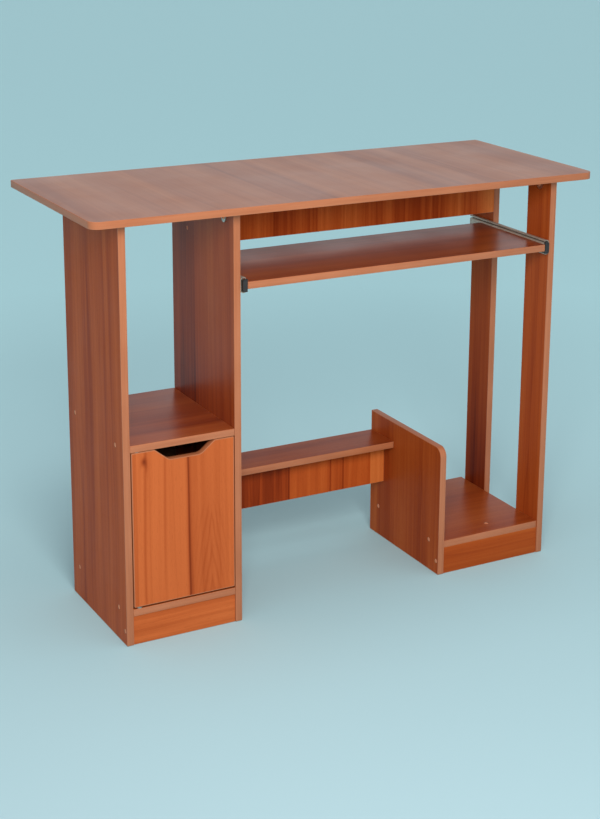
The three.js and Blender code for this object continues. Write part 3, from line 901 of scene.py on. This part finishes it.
# Each slide's cage holds two rows of balls between the flanges of the channel and the runner.
SLIDE_SHEET = 1.0 * MM
BALL_RADIUS = 1.5 * MM
BALLS_IN_ROW = 8
for side in ("left", "right"):
    channel_low, channel_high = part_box(side + "_slide_channel")
    cage_low, cage_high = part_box(side + "_slide_ball_cage")
    runner_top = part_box(side + "_slide_runner")[1].z
    middle_z = (channel_high.z + channel_low.z) / 2
    row_height = (channel_high.z - SLIDE_SHEET + runner_top) / 2 - middle_z
    x = (cage_low.x + cage_high.x) / 2
    bm = bmesh.new()
    for up in (-1, 1):
        for k in range(BALLS_IN_ROW):
            y = cage_low.y + (k + 0.5) * (cage_high.y - cage_low.y) / BALLS_IN_ROW
            place = Matrix.Translation((x, y, middle_z + up * row_height))
            bmesh.ops.create_uvsphere(bm, u_segments=16, v_segments=10, radius=BALL_RADIUS, matrix=place)
    finish_piece(side + "_slide_balls", bm, [BRIGHT_STEEL], side + "_ball_cage")

# Two low screws fix each channel to the panel or to the legs.
CHANNEL_SCREW_INSET = 35 * MM
for side, way in (("left", 1), ("right", -1)):
    low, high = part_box(side + "_slide_channel")
    z = (low.z + high.z) / 2
    web = (low.x if way > 0 else high.x) + way * SLIDE_SHEET
    for k, y in enumerate((low.y + CHANNEL_SCREW_INSET, high.y - CHANNEL_SCREW_INSET)):
        name = "%s_channel_screw_%d" % (side, k + 1)
        rings = pan_head_rings(FIXING_LENGTH, 3.0 * MM, 0.9 * MM)
        add_screw(name, Vector((web, y, z)), Vector((way, 0, 0)), rings, 40.0 * k + 15)

# The magnet stands between two steel pole plates on the catch's front, and a screw holds the strike plate.
POLE_PLATE_RISES = (2.6 * MM, 6.6 * MM)
POLE_PLATE_THICKNESS = 1.2 * MM
POLE_PLATE_INSET = 3 * MM
POLE_PLATE_DEPTH = 3 * MM
POLE_PLATE_PROUD = 0.2 * MM
POLE_PLATE_BEVEL = 0.12 * MM
STRIKE_SCREW_RISE = 3.2 * MM
low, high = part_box("magnetic_catch")
bm = bmesh.new()
for rise in POLE_PLATE_RISES:
    plate_low = Vector((low.x + POLE_PLATE_INSET, low.y - POLE_PLATE_PROUD, low.z + rise))
    plate_top = low.z + rise + POLE_PLATE_THICKNESS
    plate_high = Vector((high.x - POLE_PLATE_INSET, low.y + POLE_PLATE_DEPTH, plate_top))
    scale = Matrix.Diagonal((*(plate_high - plate_low), 1.0))
    bmesh.ops.create_cube(bm, size=1.0, matrix=Matrix.Translation((plate_low + plate_high) / 2) @ scale)
bmesh.ops.bevel(bm, geom=bm.edges[:], offset=POLE_PLATE_BEVEL, segments=2, affect="EDGES", profile=0.5)
finish_piece("catch_pole_plates", bm, [BRIGHT_STEEL], "desk")
low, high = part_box("catch_strike_plate")
strike_place = Vector(((low.x + high.x) / 2, high.y, low.z + STRIKE_SCREW_RISE))
strike_rings = pan_head_rings(8 * MM, 2.3 * MM, 1.0 * MM)
add_screw("strike_plate_screw", strike_place, Vector((0, 1, 0)), strike_rings, 20.0, body="door")

# ---------------------------------------------------------------- studio

FLOOR_HALF = 40.0
FLOOR_GAP = 0.2 * MM
POOL_CENTRE = (-0.75, -1.5, 0.0)
POOL_INNER, POOL_OUTER = 0.5, 3.8
POOL_TONES = ((0.37, 0.525, 0.58), (0.38, 0.54, 0.595))
AWAY_TONE = (0.575, 0.92, 0.98)


def pale_floor():
    """Matt pale blue, painted a little lighter away from the softbox's pool of light."""
    n = Nodes("studio_floor")
    place = n.object_place()
    away = n.new("VectorMath", operation="DISTANCE")
    n.link(place, away.inputs[0])
    away.inputs[1].default_value = POOL_CENTRE
    pool = n.mix(n.noise(place, scale=0.8, detail=2.0), *POOL_TONES)
    color = n.mix(n.span(away.outputs["Value"], POOL_INNER, POOL_OUTER), pool, AWAY_TONE)
    n.set(Base_Color=color, Roughness=0.9, Specular_IOR_Level=0.2)
    return n.material


bm = bmesh.new()
bmesh.ops.create_grid(bm, x_segments=2, y_segments=2, size=FLOOR_HALF)
mesh = bpy.data.meshes.new("studio_floor")
bm.to_mesh(mesh)
bm.free()
mesh.materials.append(pale_floor())
floor = bpy.data.objects.new("studio_floor", mesh)
floor.location.z = CAD_BOX[0][2] - FLOOR_GAP
SCENE.collection.objects.link(floor)

# The studio round the desk: a pale wall low down, darker from its top edge up to the ceiling.
world = bpy.data.worlds.new("studio")
SCENE.world = world
world.use_nodes = True
sky = world.node_tree
background = sky.nodes["Background"]
background.inputs["Strength"].default_value = 1.0
direction = sky.nodes.new("ShaderNodeTexCoord")
height = sky.nodes.new("ShaderNodeSeparateXYZ")
cove = sky.nodes.new("ShaderNodeValToRGB")
sky.links.new(direction.outputs["Generated"], height.inputs[0])
sky.links.new(height.outputs["Z"], cove.inputs["Fac"])
sky.links.new(cove.outputs["Color"], background.inputs["Color"])
wall, ceiling = cove.color_ramp.elements
wall.position, wall.color = 0.3, (0.6, 0.63, 0.65, 1.0)
ceiling.position, ceiling.color = 0.6, (0.26, 0.27, 0.28, 1.0)


def softbox(name, place, target, size, power, color):
    data = bpy.data.lights.new(name, "AREA")
    data.shape = "SQUARE"
    data.size = size
    data.energy = power
    data.color = color
    lamp = bpy.data.objects.new(name, data)
    lamp.location = place
    lamp.rotation_euler = (Vector(target) - Vector(place)).to_track_quat("-Z", "Y").to_euler()
    # the box itself is neither seen nor mirrored in the glossy boards
    lamp.visible_camera = False
    lamp.visible_glossy = False
    SCENE.collection.objects.link(lamp)


def soft_sun(name, towards, strength, angle):
    """A distant softbox: towards is the way that its light travels."""
    data = bpy.data.lights.new(name, "SUN")
    data.energy = strength
    data.angle = math.radians(angle)
    lamp = bpy.data.objects.new(name, data)
    lamp.rotation_euler = Vector(towards).to_track_quat("-Z", "Y").to_euler()
    SCENE.collection.objects.link(lamp)


softbox(
    "key_softbox",
    place=(-0.8, -1.95, 1.5),
    target=(0.1, 0.0, 0.5),
    size=0.9,
    power=40.0,
    color=(1.0, 0.975, 0.94),
)
soft_sun("top_softbox", towards=(0.0, 0.15, -1.0), strength=0.8, angle=60.0)

# ---------------------------------------------------------------- camera

CAMERA_PLACE = (-1.39763, -2.61688, 1.31809)
YAW, PITCH, ROLL = math.radians(29.58), math.radians(-14.65), math.radians(0.69)
camera_data = bpy.data.cameras.new("camera")
camera_data.sensor_width = 36.0
camera_data.lens = 73.9487
camera_data.shift_x = -0.06105
camera_data.shift_y = -0.14799
camera_data.clip_end = 200.0
camera = bpy.data.objects.new("camera", camera_data)
forward = Vector((math.sin(YAW) * math.cos(PITCH), math.cos(YAW) * math.cos(PITCH), math.sin(PITCH)))
flat_right = Vector((math.cos(YAW), -math.sin(YAW), 0.0))
flat_up = flat_right.cross(forward)
right = math.cos(ROLL) * flat_right + math.sin(ROLL) * flat_up
up = math.cos(ROLL) * flat_up - math.sin(ROLL) * flat_right
turned = Matrix((right, up, -forward)).transposed().to_4x4()
camera.matrix_world = Matrix.Translation(CAMERA_PLACE) @ turned
SCENE.collection.objects.link(camera)
SCENE.camera = camera
SCENE.view_settings.view_transform = "Standard"
